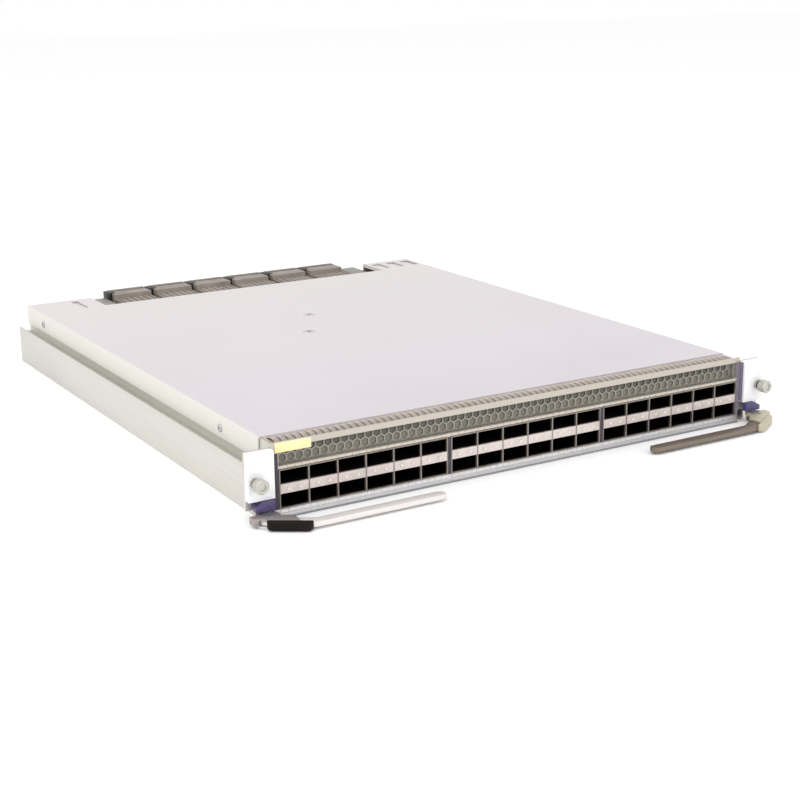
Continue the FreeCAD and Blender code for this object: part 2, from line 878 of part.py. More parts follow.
def rounded(shape, places, radius):
    """Fillets the upright edges that stand at the given places."""
    edges = []
    for edge in shape.Edges:
        first, last = edge.Vertexes[0].Point, edge.Vertexes[-1].Point
        upright = abs(first.x - last.x) < 1e-6 and abs(first.y - last.y) < 1e-6
        if upright and any(math.dist((first.x, first.y), place) < 1e-3 for place in places):
            edges.append(edge)
    return shape.makeFillet(radius, edges)


def ejector_lever(side):
    """Flat lever: a leg that leaves the pivot at an angle, then an arm along the face."""
    tip_x = arm_tip + arm_width / 2
    front_y, back_y = -arm_front, -arm_front + arm_width
    outer_bend = leg_point_at(leg_offset, front_y)
    inner_bend = leg_point_at(leg_offset - leg_width, back_y)
    outline = [(tip_x, front_y), outer_bend, leg_point(leg_offset, 0),
               leg_point(leg_offset - leg_width, 0), inner_bend, (tip_x, back_y)]
    flat = prism_z(outline, arm_bottom, arm_top)
    flat = rounded(flat, [inner_bend], bend_radius_inner)
    flat = rounded(flat, [outer_bend], bend_radius_inner + arm_width / 2)
    tip = rod_z(arm_width / 2, tip_x, (front_y + back_y) / 2, arm_bottom, arm_top)
    root = rod_z(arm_root_radius, pivot_x, pivot_y, arm_bottom, arm_top)
    lever = joined([flat, tip, root])
    return sided(lever.cut(pivot_hole(0, hub_top)), side)


def lever_hub(side):
    """Cast cap over the lever's root, with the claw that pulls on the chassis."""
    cap = rod_z(hub_radius, pivot_x, pivot_y, arm_top, hub_top)
    outline = [leg_point(leg_offset, 0), leg_point(leg_offset, hub_length),
               leg_point(leg_offset - leg_width, hub_length - leg_width / 2),
               leg_point(leg_offset - leg_width, 0)]
    leg = prism_z(outline, arm_top, hub_top)
    claw_x = pivot_x + claw_reach
    bridge = box(pivot_x, claw_x, pivot_y - claw_width / 2, pivot_y + claw_width / 2,
                 arm_top, hub_top)
    claw = box(claw_x - claw_depth, claw_x, pivot_y - claw_width / 2, pivot_y + claw_width / 2,
               arm_bottom, hub_top)
    hub = joined([cap, leg, bridge, claw])
    return sided(hub.cut(pivot_hole(0, hub_top + sheet)), side)


def lever_grip(side):
    """Moulded thumb grip along the front edge of the leg."""
    front = leg_offset + grip_thickness
    outline = [leg_point(leg_offset, 0), leg_point(front, grip_thickness / 2),
               leg_point(front, grip_length - grip_thickness / 2),
               leg_point(leg_offset, grip_length)]
    return sided(prism_z(outline, arm_bottom - grip_drop, hub_top + grip_rise), side)


def pivot_pin(side):
    shank = rod_z(pivot_radius, pivot_x, pivot_y, fit, hub_top + slide_fit)
    head = rod_z(pivot_head_radius, pivot_x, pivot_y, hub_top + slide_fit,
                 hub_top + slide_fit + pivot_head_height)
    return sided(joined([shank, head]), side)


def build_parts():
    parts = {
        "base_tray": base_tray(),
        "top_cover": top_cover(),
        "front_panel": front_panel(),
        "vent_grille": vent_grille(),
        "emi_finger_strip": emi_finger_strip(),
        "label_plate": label_plate(),
        "light_pipes": light_pipes(),
        "main_board": main_board(),
        "board_standoffs": board_standoffs(),
        "switch_chips": switch_chips(),
        "power_bricks": power_bricks(),
        "cover_pillars": cover_pillars(),
        "cover_screws": cover_screws(),
        "guide_socket_left": guide_socket(guide_left_x),
        "guide_socket_right": guide_socket(guide_right_x),
        "power_connector": power_connector(),
    }
    for group in range(groups):
        parts[f"port_cage_{group + 1}"] = port_cage(group)
        parts[f"cage_dividers_{group + 1}"] = cage_dividers(group)
        parts[f"cage_septums_{group + 1}"] = cage_septums(group)
        parts[f"port_connectors_{group + 1}"] = port_connectors(group)
    for number in range(len(sink_xs)):
        parts[f"heat_sink_{number + 1}"] = heat_sink(number)
    for number in range(fabric_count):
        parts[f"fabric_connector_{number + 1}"] = fabric_connector(number)
    makers = {
        "guide_rail": guide_rail,
        "ear_bracket": ear_bracket,
        "screw_ferrule": screw_ferrule,
        "captive_screw": captive_screw,
        "spring_washer": spring_washer,
        "screw_spring": screw_spring,
        "release_latch": release_latch,
        "ejector_lever": ejector_lever,
        "lever_hub": lever_hub,
        "lever_grip": lever_grip,
        "pivot_pin": pivot_pin,
    }
    for name, make in makers.items():
        parts[f"{name}_left"] = make(-1)
        parts[f"{name}_right"] = make(1)
    return parts


os.makedirs("parts", exist_ok=True)
for node, shape in build_parts().items():
    shape.exportStep(os.path.join("parts", node + ".step"))
    corner = shape.BoundBox
    print(f"{node:22s} solids {len(shape.Solids):3d} valid {shape.isValid()} "
          f"x {corner.XMin:8.2f} {corner.XMax:8.2f} y {corner.YMin:8.2f} {corner.YMax:8.2f} "
          f"z {corner.ZMin:6.2f} {corner.ZMax:6.2f}")
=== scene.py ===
# %% [markdown]
# # Dressing a switch line card
# The card is a flat sheet-metal module from a chassis switch. Its solids come from the frame at
# their real size, so this lesson only gives them their finish: edges that catch the light, real
# metals and plastics, and the small stampings that are too fine for the solids. Everything is in
# metres, with the card lying on Z = 0 and its ports looking towards -Y.

# %% Load the frame
import json
import math

import bmesh
import bpy
from mathutils import Matrix, Vector


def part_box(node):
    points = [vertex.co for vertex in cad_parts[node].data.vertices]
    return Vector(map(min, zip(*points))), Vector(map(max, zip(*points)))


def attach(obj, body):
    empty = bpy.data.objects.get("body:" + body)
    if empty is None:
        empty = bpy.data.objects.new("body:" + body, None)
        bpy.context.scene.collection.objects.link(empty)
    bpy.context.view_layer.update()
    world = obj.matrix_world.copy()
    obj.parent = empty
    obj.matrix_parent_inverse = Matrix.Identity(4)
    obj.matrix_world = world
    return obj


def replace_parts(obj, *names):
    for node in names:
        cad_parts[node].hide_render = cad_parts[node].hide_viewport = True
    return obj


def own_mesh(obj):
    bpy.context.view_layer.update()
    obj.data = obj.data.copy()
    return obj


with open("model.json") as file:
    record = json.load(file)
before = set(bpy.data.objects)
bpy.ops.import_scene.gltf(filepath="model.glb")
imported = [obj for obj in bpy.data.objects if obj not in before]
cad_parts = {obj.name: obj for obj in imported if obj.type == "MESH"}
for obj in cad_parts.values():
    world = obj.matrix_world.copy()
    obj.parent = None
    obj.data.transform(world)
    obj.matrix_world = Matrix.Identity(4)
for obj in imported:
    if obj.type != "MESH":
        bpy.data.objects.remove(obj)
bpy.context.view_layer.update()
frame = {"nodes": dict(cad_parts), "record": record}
MM = 0.001
NODES = frame["nodes"]
CARD = "card"
SIDES = ((-1, "left"), (1, "right"))

# %% [markdown]
# ## Camera
# The camera stands where the photographer's did: to the left of the card and above it, looking
# along +Y and turned to the right. Its place and its angles are written as real sizes, and the
# lens is given for a sensor 36 mm wide.

# %% Camera
CAMERA_PLACE = (-552.57 * MM, -764.27 * MM, 313.50 * MM)
CAMERA_YAW = math.radians(30.93)
CAMERA_DOWN = math.radians(16.01)
CAMERA_ROLL = math.radians(-0.64)
LENS_MM = 68.83
SENSOR_MM = 36.0
camera_data = bpy.data.cameras.new("camera")
camera_data.lens = LENS_MM
camera_data.sensor_width = SENSOR_MM
camera_data.clip_end = 20.0
camera = bpy.data.objects.new("camera", camera_data)
bpy.context.scene.collection.objects.link(camera)
yaw = Matrix.Rotation(-CAMERA_YAW, 4, "Z")
tilt = Matrix.Rotation(math.pi / 2 - CAMERA_DOWN, 4, "X")
roll = Matrix.Rotation(CAMERA_ROLL, 4, "Z")
camera.matrix_world = Matrix.Translation(CAMERA_PLACE) @ yaw @ tilt @ roll
bpy.context.scene.camera = camera
print("camera", [round(value, 3) for value in camera.location])

# %% [markdown]
# ## Colours and nodes
# A colour given in hex is an sRGB value, and the shader wants a linear one, so one function
# turns a hex value to linear. One more function adds a node, sets it and links what feeds it.
# Every material below is made of these two. A Mix node has sockets for several kinds of data,
# so its two colours and their mix are named here by their numbers.

# %% Helpers for materials
def linear(hex_colour):
    """An sRGB hex value such as D8D4DC as linear red, green, blue and alpha."""
    channels = [int(hex_colour[i:i + 2], 16) / 255 for i in (0, 2, 4)]
    return tuple(c / 12.92 if c <= 0.04045 else ((c + 0.055) / 1.055) ** 2.4
                 for c in channels) + (1.0,)


def add(tree, kind, inputs=None, **settings):
    """Adds a node, sets its properties, and gives its inputs a value or a link."""
    node = tree.nodes.new("ShaderNode" + kind)
    for name, value in settings.items():
        setattr(node, name, value)
    for name, value in (inputs or {}).items():
        if isinstance(value, bpy.types.NodeSocket):
            tree.links.new(value, node.inputs[name])
        else:
            node.inputs[name].default_value = value
    return node


def start_material(name):
    """An empty material with its shader, its output and Object coordinates."""
    material = bpy.data.materials.new(name)
    material.use_nodes = True
    tree = material.node_tree
    tree.nodes.clear()
    shader = add(tree, "BsdfPrincipled")
    output = add(tree, "OutputMaterial", {"Surface": shader.outputs["BSDF"]})
    output.is_active_output = True
    place = add(tree, "TexCoord").outputs["Object"]
    return material, tree, shader, place


COLOUR_A, COLOUR_B, MIXED = 6, 7, 2
print("helpers ready")

# %% [markdown]
# ## Zinc-plated sheet
# The cover and the tray are folded from steel sheet with a bright zinc coat. The rolling mill
# leaves fine lines along the sheet and the plating bath leaves soft clouds, so the colour moves
# slowly and the roughness moves in thin streaks along Y. The bump is only some microns high.
# The side flanges are the same sheet as the top, so their colour, blended lighter and warmer
# along X, is painted light. Along Y the colour is also blended a little lighter and warmer
# towards the rear.

# %% Zinc-plated sheet
def blend_along(tree, place, colour, blend):
    """Blends a colour to another one between two distances from the middle along an axis."""
    axis, start_mm, end_mm, hex_colour = blend
    distance = add(tree, "SeparateXYZ", {"Vector": place}).outputs[axis]
    size = add(tree, "Math", {0: distance}, operation="ABSOLUTE").outputs["Value"]
    share = add(tree, "MapRange", {"Value": size, "From Min": start_mm * MM,
                                   "From Max": end_mm * MM}).outputs["Result"]
    return add(tree, "Mix", {"Factor": share, COLOUR_A: colour, COLOUR_B: linear(hex_colour)},
               data_type="RGBA").outputs[MIXED]


CLOUD = 170 * MM
STREAK = 0.8 * MM


def plated_sheet(name, dull, bright, rough, blends=()):
    material, tree, shader, place = start_material(name)
    cloud = add(tree, "TexNoise", {"Vector": place, "Scale": 1 / CLOUD, "Detail": 2.0,
                                   "Roughness": 0.5}).outputs["Fac"]
    streak_place = add(tree, "Mapping", {"Vector": place, "Scale": (1.0, 0.04, 1.0)})
    streak = add(tree, "TexNoise", {"Vector": streak_place.outputs["Vector"],
                                    "Scale": 1 / STREAK, "Detail": 2.0}).outputs["Fac"]
    clouds = add(tree, "MapRange", {"Value": cloud, "From Min": 0.3, "From Max": 0.7})
    colour = add(tree, "Mix", {"Factor": clouds.outputs["Result"], COLOUR_A: linear(dull),
                               COLOUR_B: linear(bright)}, data_type="RGBA").outputs[MIXED]
    for blend in blends:
        colour = blend_along(tree, place, colour, blend)
    tree.links.new(colour, shader.inputs["Base Color"])
    gloss = add(tree, "MapRange", {"Value": streak, "To Min": rough - 0.05,
                                   "To Max": rough + 0.07})
    tree.links.new(gloss.outputs["Result"], shader.inputs["Roughness"])
    bump = add(tree, "Bump", {"Height": streak, "Strength": 0.12, "Distance": 0.02 * MM})
    tree.links.new(bump.outputs["Normal"], shader.inputs["Normal"])
    shader.inputs["Metallic"].default_value = 0.25
    return material


# Painted light: the side flanges are blended lighter along X; along Y the colour is blended a
# little lighter and warmer towards the rear.
COVER = plated_sheet("zinc_cover", "CBC5CA", "D2CCD1", 0.50,
                     (("Y", 60, 420, "D6D0D0"), ("X", 181.2, 182.3, "DEDBD4")))
TRAY = plated_sheet("zinc_tray", "C9C8BD", "D4D3C8", 0.46)
print("sheet materials", COVER.name, TRAY.name)

# %% [markdown]
# ## Anodised aluminium
# The rails are extruded and the face is machined, then both are etched and anodised. The etch
# leaves an even, silky surface with a fine sparkle. Extruded pieces also keep faint die lines
# along their length, which is Y for the rails and X for the face. The face's colour is blended
# darker and warmer along Z towards its top flange: painted shade under the flange.

# %% Anodised aluminium
ETCH_GRAIN = 0.35 * MM
DIE_LINE = 1.2 * MM


def anodised(name, low, high, rough, line_scale, metallic=0.7, blend=None):
    material, tree, shader, place = start_material(name)
    etched = add(tree, "TexNoise", {"Vector": place, "Scale": 1 / ETCH_GRAIN, "Detail": 2.0})
    lines_place = add(tree, "Mapping", {"Vector": place, "Scale": line_scale})
    lines = add(tree, "TexNoise", {"Vector": lines_place.outputs["Vector"],
                                   "Scale": 1 / DIE_LINE, "Detail": 3.0}).outputs["Fac"]
    marks = add(tree, "MapRange", {"Value": lines, "From Min": 0.3, "From Max": 0.7})
    colour = add(tree, "Mix", {"Factor": marks.outputs["Result"], COLOUR_A: linear(low),
                               COLOUR_B: linear(high)}, data_type="RGBA").outputs[MIXED]
    if blend:
        colour = blend_along(tree, place, colour, blend)
    tree.links.new(colour, shader.inputs["Base Color"])
    gloss = add(tree, "MapRange", {"Value": lines, "To Min": rough - 0.04,
                                   "To Max": rough + 0.06})
    tree.links.new(gloss.outputs["Result"], shader.inputs["Roughness"])
    bump = add(tree, "Bump", {"Height": etched.outputs["Fac"], "Strength": 0.15,
                              "Distance": 0.02 * MM})
    tree.links.new(bump.outputs["Normal"], shader.inputs["Normal"])
    shader.inputs["Metallic"].default_value = metallic
    return material


ALONG_X = (0.03, 1.0, 1.0)
ALONG_Y = (1.0, 0.03, 1.0)
RAIL = anodised("anodised_rail", "D0CDC7", "D6D3CD", 0.42, ALONG_Y)
# Painted shade: the face is blended darker and warmer towards its top flange.
FACE = anodised("anodised_face", "D3CFCF", "DFDBDB", 0.36, ALONG_X,
                blend=("Z", 8, 42, "C3BBB0"))
SINK = anodised("extruded_sink", "8E8F92", "A2A3A6", 0.45, ALONG_Y)
BRICK = anodised("black_anodised_brick", "1B1B1E", "26262A", 0.50, ALONG_X, 0.4)
# Painted light and shade: the two levers are one part mirrored, the left lever the lit copy and
# the right lever the shaded copy.
LEVER_LEFT_LIT = anodised("lever_left_painted_light", "DCD6D4", "E6E1DF", 0.48, ALONG_X, 0.35)
LEVER_RIGHT_SHADED = anodised("lever_right_painted_shade", "786C60", "887C71", 0.42, ALONG_X)
print("aluminium materials ready")

# %% [markdown]
# ## Nickel-plated stampings
# The cages are stamped from thin strip and plated with nickel, which is warmer than zinc. Each
# has small smudges from handling, drawn as a coarse noise in the roughness. The colour of the
# port walls falls off to near black behind the mouth, as painted shade of the deep ports. The
# front edge of the contact strip, the top of the grille and the upper collar fingers get painted
# shade too: their colours are blended darker there.

# %% Nickel-plated stampings
SMUDGE = 7 * MM
PLATING_GRAIN = 0.3 * MM
MOUTH_SHADE = ("Y", 0.6, 1.3)


def nickel(name, low, high, rough, metallic=0.85, blend=None):
    material, tree, shader, place = start_material(name)
    smudge = add(tree, "TexNoise", {"Vector": place, "Scale": 1 / SMUDGE, "Detail": 4.0,
                                    "Roughness": 0.6}).outputs["Fac"]
    fine = add(tree, "TexNoise", {"Vector": place, "Scale": 1 / PLATING_GRAIN,
                                  "Detail": 1.0}).outputs["Fac"]
    marks = add(tree, "MapRange", {"Value": smudge, "From Min": 0.3, "From Max": 0.7})
    colour = add(tree, "Mix", {"Factor": marks.outputs["Result"], COLOUR_A: linear(low),
                               COLOUR_B: linear(high)}, data_type="RGBA").outputs[MIXED]
    if blend:
        colour = blend_along(tree, place, colour, blend)
    tree.links.new(colour, shader.inputs["Base Color"])
    gloss = add(tree, "MapRange", {"Value": smudge, "From Min": 0.3, "From Max": 0.7,
                                   "To Min": rough - 0.06, "To Max": rough + 0.10})
    tree.links.new(gloss.outputs["Result"], shader.inputs["Roughness"])
    bump = add(tree, "Bump", {"Height": fine, "Strength": 0.1, "Distance": 0.01 * MM})
    tree.links.new(bump.outputs["Normal"], shader.inputs["Normal"])
    shader.inputs["Metallic"].default_value = metallic
    return material


# Painted shade: the port walls fall off to near black behind the mouth.
CAGE = nickel("nickel_cage", "7F7871", "978F88", 0.34, 0.7, MOUTH_SHADE + ("161413",))
# Painted shade: the upper collar fingers are blended darker and warmer.
COLLAR = nickel("bright_collar", "D7D8DA", "E1E2E4", 0.30, 0.6, ("Z", 6, 26, "C9C0B4"))
# Painted shade: the septum falls off to near black behind the mouth.
SEPTUM = nickel("nickel_septum", "CBBFBB", "DCD1CD", 0.36, 0.5, MOUTH_SHADE + ("1C1817",))
# Painted shade: the grille is blended darker towards its top.
GRILLE = nickel("nickel_grille", "ABA69A", "B7B2A6", 0.45, 0.5, ("Z", 30, 41, "80827D"))
SCREW = nickel("zinc_screw", "B8B7B4", "C9C8C5", 0.34)
KNOB = nickel("nickel_knob", "B5B4AA", "CBC9C0", 0.28, 0.75)
WASHER = nickel("washer", "C3BEBC", "CAC5C3", 0.50, 0.3)
PIN = nickel("turned_pin", "9A9A9C", "AEAEB0", 0.28)
WIRE = nickel("spring_wire", "5C5C5E", "747476", 0.30)
strip_low, strip_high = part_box("emi_finger_strip")
# Painted shade: the contact strip is blended darker towards its front edge.
FINGER = nickel("tinned_fingers", "CABFB3", "E6DCD1", 0.33,
                blend=("Y", strip_high.y / MM, strip_low.y / MM, "A2958A"))
BRASS = nickel("turned_brass", "A68A4C", "BFA364", 0.30)
GOLD = nickel("gold_contact", "C79B3E", "DDB45A", 0.22)
print("plated materials ready")

# %% [markdown]
# ## Paint and plastics
# Powder coat is a thick, slightly pebbled skin. Moulded plastic has a fine spark-eroded grain
# and no metal in it at all. The pebbles and the grain are drawn a little coarser than they are,
# so that they show at this distance. The grips and the strips of painted shade are the dullest,
# and the ears and the latches have a low sheen. The two hubs are zinc castings under a thin
# finish, so they get some metal as well. Each hub and each grip is one part mirrored, and the
# colours of left and right differ as painted light and shade: the right hub and the right grip
# are the lit copies, the left ones the shaded copies.

# %% Paint and plastics
MOULD_PATCH = 15 * MM


def coating(name, low, high, rough, grain_mm, height_mm, coat=0.0, blend=None):
    material, tree, shader, place = start_material(name)
    grain = add(tree, "TexNoise", {"Vector": place, "Scale": 1 / (grain_mm * MM),
                                   "Detail": 2.0}).outputs["Fac"]
    patch = add(tree, "TexNoise", {"Vector": place, "Scale": 1 / MOULD_PATCH,
                                   "Detail": 2.0}).outputs["Fac"]
    marks = add(tree, "MapRange", {"Value": patch, "From Min": 0.3, "From Max": 0.7})
    colour = add(tree, "Mix", {"Factor": marks.outputs["Result"], COLOUR_A: linear(low),
                               COLOUR_B: linear(high)}, data_type="RGBA").outputs[MIXED]
    if blend:
        colour = blend_along(tree, place, colour, blend)
    tree.links.new(colour, shader.inputs["Base Color"])
    gloss = add(tree, "MapRange", {"Value": grain, "To Min": rough - 0.05,
                                   "To Max": rough + 0.05})
    tree.links.new(gloss.outputs["Result"], shader.inputs["Roughness"])
    bump = add(tree, "Bump", {"Height": grain, "Strength": 0.3, "Distance": height_mm * MM})
    tree.links.new(bump.outputs["Normal"], shader.inputs["Normal"])
    shader.inputs["Coat Weight"].default_value = coat
    return material


EAR = coating("powder_coat_white", "EDEDEE", "F6F6F7", 0.42, 0.7, 0.03)
LATCH = coating("moulded_purple", "413760", "4C426E", 0.40, 0.5, 0.02, 0.15)
# Painted light and shade: the left grip is the shaded copy and the right grip the lit copy of one
# part.
GRIP_LEFT_SHADED = coating("grip_left_painted_shade", "17120F", "1E1814", 0.62, 0.5, 0.03)
GRIP_RIGHT_LIT = coating("grip_right_painted_light", "ACA58E", "B9B19B", 0.50, 0.5, 0.03)
# Painted shade: a dark colour for strips where the face is in shade.
DARK_SHADE = coating("dark_painted_shade", "353038", "403A43", 0.60, 0.5, 0.04)
# Painted shade: the foam is blended darker towards its top, under the top flange.
FILTER = coating("filter_foam", "958D80", "9E9689", 0.90, 0.9, 0.30,
                 blend=("Z", 30, 41, "575954"))
# Painted shade: lavender and grey colours for strips where the face, the ears and the lip are in
# shade.
LAVENDER_SHADE = coating("lavender_painted_shade", "7A7286", "867E92", 0.55, 0.5, 0.03)
LIP_SHADE = coating("lip_painted_shade", "787B82", "84878D", 0.55, 0.5, 0.03)
PORT = coating("moulded_black_port", "0A0A0A", "121212", 0.55, 0.4, 0.02)
LABEL = coating("cream_label_film", "F3E2A2", "FAEDBB", 0.48, 0.4, 0.005)
# Painted light and shade: the right hub is the lit copy and the left hub the shaded copy of one
# part.
HUB_RIGHT_LIT = coating("hub_right_painted_light", "BBB49B", "C9C2AB", 0.45, 0.6, 0.04)
HUB_LEFT_SHADED = coating("hub_left_painted_shade", "9A9092", "A99F9F", 0.45, 0.6, 0.04)
SHIELD = coating("grey_connector_moulding", "80776F", "92897F", 0.45, 0.5, 0.02)
GUIDE = coating("grey_glass_filled", "827F7B", "8F8B87", 0.50, 0.5, 0.02)
ORGANISER = coating("dark_organiser", "6A625D", "766E68", 0.50, 0.5, 0.02)
POWER = coating("black_glass_filled", "161616", "202020", 0.50, 0.5, 0.02)
CHIP = coating("moulded_package", "151517", "202022", 0.55, 0.3, 0.01)
for cast in (HUB_RIGHT_LIT, HUB_LEFT_SHADED):
    cast.node_tree.nodes["Principled BSDF"].inputs["Metallic"].default_value = 0.6
GRIP_LEFT_SHADED.node_tree.nodes["Principled BSDF"].inputs["Specular IOR Level"].default_value = 0.12
print("coated and moulded materials ready")

# %% [markdown]
# ## Light pipes and board
# A light pipe is clear acrylic, which looks milky white from its end because the end is frosted.
# The board is glass cloth under green solder mask. Its copper shows as a slightly raised, lighter
# pattern of straight runs, which a brick texture with a small mortar gives at a real scale.

# %% Light pipes and board
FROST_GRAIN = 0.4 * MM
TRACK_LENGTH = 6 * MM


def frosted_acrylic(name):
    material, tree, shader, place = start_material(name)
    frost = add(tree, "TexNoise", {"Vector": place, "Scale": 1 / FROST_GRAIN}).outputs["Fac"]
    colour = add(tree, "Mix", {"Factor": frost, COLOUR_A: linear("F2EEDC"),
                               COLOUR_B: linear("FFFDF2")}, data_type="RGBA").outputs[MIXED]
    tree.links.new(colour, shader.inputs["Base Color"])
    gloss = add(tree, "MapRange", {"Value": frost, "To Min": 0.25, "To Max": 0.45})
    tree.links.new(gloss.outputs["Result"], shader.inputs["Roughness"])
    shader.inputs["IOR"].default_value = 1.49
    shader.inputs["Transmission Weight"].default_value = 0.3
    return material


def solder_mask(name):
    material, tree, shader, place = start_material(name)
    runs = add(tree, "TexBrick", {"Vector": place, "Scale": 1 / TRACK_LENGTH, "Mortar Size": 0.04,
                                  "Color1": linear("1A3F26"), "Color2": linear("20482C"),
                                  "Mortar": linear("2F6A41")})
    tree.links.new(runs.outputs["Color"], shader.inputs["Base Color"])
    bump = add(tree, "Bump", {"Height": runs.outputs["Fac"], "Strength": 0.4,
                              "Distance": 0.035 * MM})
    tree.links.new(bump.outputs["Normal"], shader.inputs["Normal"])
    shader.inputs["Roughness"].default_value = 0.35
    shader.inputs["Coat Weight"].default_value = 0.3
    return material


PIPE = frosted_acrylic("frosted_acrylic")
BOARD = solder_mask("green_solder_mask")
print("acrylic and board ready")

# %% [markdown]
# ## Which finish each piece has
# The frame gives each node one material slot. A node keeps its own mesh and gets a finish by the
# start of its name, so a new copy of a repeated piece would be dressed too.

# %% Finish of each node
FINISHES = (
    ("base_tray", TRAY), ("top_cover", COVER), ("guide_rail", RAIL), ("front_panel", FACE),
    ("vent_grille", GRILLE), ("emi_finger_strip", FINGER), ("label_plate", LABEL),
    ("port_cage", CAGE), ("cage_dividers", CAGE), ("cage_septums", SEPTUM),
    ("port_connectors", PORT), ("light_pipes", PIPE), ("main_board", BOARD),
    ("board_standoffs", BRASS), ("switch_chips", CHIP), ("heat_sink", SINK),
    ("power_bricks", BRICK), ("cover_pillars", SINK), ("cover_screws", SCREW),
    ("fabric_connector", SHIELD), ("guide_socket", GUIDE), ("power_connector", POWER),
    ("ear_bracket", EAR), ("screw_ferrule", SCREW), ("captive_screw", KNOB),
    ("spring_washer", SCREW), ("screw_spring", WIRE), ("release_latch", LATCH),
    ("ejector_lever_left", LEVER_LEFT_LIT), ("ejector_lever_right", LEVER_RIGHT_SHADED),
    ("lever_hub_left", HUB_LEFT_SHADED), ("lever_hub_right", HUB_RIGHT_LIT),
    ("lever_grip_left", GRIP_LEFT_SHADED), ("lever_grip_right", GRIP_RIGHT_LIT),
    ("pivot_pin", PIN),
)
BODY_OF = {node: body for body, nodes in frame["record"]["behaviour"]["bodies"].items()
           for node in nodes}


def finish_of(node):
    return next(material for start, material in FINISHES if node.startswith(start))


for node, piece in NODES.items():
    piece.data.materials.clear()
    piece.data.materials.append(finish_of(node))
print("finished nodes", len(NODES))

# %% [markdown]
# ## Edges that catch the light
# A folded, machined or moulded edge is never knife-sharp: a thin bright line runs along it. The
# solids have sharp edges, so the pieces in SOFTENED get a copy of their mesh with the corners
# broken by a bevel of that many millimetres. The copy is merged first, and its flat faces are
# joined again, so that the bevel only finds real edges.

# %% Broken edges
SHARP = math.radians(24)
FLAT = math.radians(0.6)
BEVEL_SHARP = 35


def place_piece(name, mesh, node, material):
    """Links a finished mesh as a piece on the body of the node that it belongs to."""
    piece = bpy.data.objects.new(name, mesh)
    bpy.context.scene.collection.objects.link(piece)
    mesh.materials.clear()
    mesh.materials.append(material)
    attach(piece, BODY_OF[node])
    return piece


def mesh_from(bm, name, sharp_degrees=None):
    """Ends a bmesh. With an angle its faces are smooth, and sharper corners stay sharp."""
    mesh = bpy.data.meshes.new(name)
    bm.to_mesh(mesh)
    bm.free()
    if sharp_degrees:
        mesh.shade_smooth()
        mesh.set_sharp_from_angle(angle=math.radians(sharp_degrees))
    return mesh


def merged_copy(node):
    bm = bmesh.new()
    bm.from_mesh(NODES[node].data)
    bmesh.ops.remove_doubles(bm, verts=bm.verts, dist=0.002 * MM)
    bmesh.ops.dissolve_limit(bm, angle_limit=FLAT, use_dissolve_boundaries=False,
                             verts=bm.verts, edges=bm.edges, delimit=set())
    return bm


def break_edges(node, width_mm):
    """Replaces a node with a copy whose sharp edges are rounded by a small width."""
    bm = merged_copy(node)
    edges = [edge for edge in bm.edges
             if len(edge.link_faces) == 2 and edge.calc_face_angle(0.0) > SHARP]
    bmesh.ops.bevel(bm, geom=edges, offset=width_mm * MM, offset_type="OFFSET",
                    segments=2, profile=0.5, affect="EDGES", clamp_overlap=True, material=-1)
    mesh = mesh_from(bm, node + "_dressed", BEVEL_SHARP)
    piece = place_piece(node + "_dressed", mesh, node, finish_of(node))
    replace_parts(piece, node)


SOFTENED = {"ear_bracket": 0.35, "guide_rail": 0.25, "release_latch": 0.5, "lever_grip": 0.7,
            "lever_hub": 0.3, "ejector_lever": 0.35, "label_plate": 0.12,
            "guide_socket": 0.4, "power_connector": 0.3, "fabric_connector": 0.3}
for node in sorted(NODES):
    for start, width in SOFTENED.items():
        if node.startswith(start):
            break_edges(node, width)

# %% [markdown]
# ## Sprung contact strip
# A strip of beryllium copper is clipped to the face's top flange. It is slit into narrow fingers
# that arch upwards and touch the chassis. The solid strip has wide fingers, so the fine ones are
# made here: one finger is a flat grid that is bent to an arch, thickened and repeated.

# %% Contact strip
STRIP_PITCH = 4.75 * MM
STRIP_GAP = 0.7 * MM
STRIP_THICK = 0.2 * MM
STRIP_BACK = 1.6 * MM
FOOT_SHARE = 0.1


def arch(share):
    """Height of a finger from 0 at its feet to 1 at its crest, with flat feet."""
    inner = min(max((share - FOOT_SHARE) / (1 - 2 * FOOT_SHARE), 0.0), 1.0)
    return math.sin(math.pi * inner) ** 0.8


def contact_strip():
    bm = bmesh.new()
    count = int((strip_high.x - strip_low.x) / STRIP_PITCH)
    depth = strip_high.y - strip_low.y
    rise = strip_high.z - strip_low.z - STRIP_THICK
    first = (strip_low.x + strip_high.x) / 2 - (count - 1) / 2 * STRIP_PITCH
    for i in range(count):
        made = bmesh.ops.create_grid(bm, x_segments=1, y_segments=14, size=0.5)
        bmesh.ops.scale(bm, vec=(STRIP_PITCH - STRIP_GAP, depth, 1), verts=made["verts"])
        for vert in made["verts"]:
            share = vert.co.y / depth + 0.5
            vert.co.z = rise * arch(share)
        bmesh.ops.translate(bm, verts=made["verts"],
                            vec=(first + i * STRIP_PITCH, strip_low.y + depth / 2,
                                 strip_low.z + STRIP_THICK / 2))
    made = bmesh.ops.create_grid(bm, x_segments=1, y_segments=1, size=0.5)
    bmesh.ops.scale(bm, vec=(strip_high.x - strip_low.x, STRIP_BACK, 1), verts=made["verts"])
    bmesh.ops.translate(bm, verts=made["verts"],
                        vec=(0, strip_high.y - STRIP_BACK / 2, strip_low.z + STRIP_THICK / 2))
    mesh = mesh_from(bm, "contact_strip")
    mesh.shade_smooth()
    piece = place_piece("contact_strip", mesh, "emi_finger_strip", FINGER)
    thick = piece.modifiers.new("thickness", "SOLIDIFY")
    thick.thickness = STRIP_THICK
    thick.offset = 0
    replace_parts(piece, "emi_finger_strip")
    return count


print("contact fingers", contact_strip())

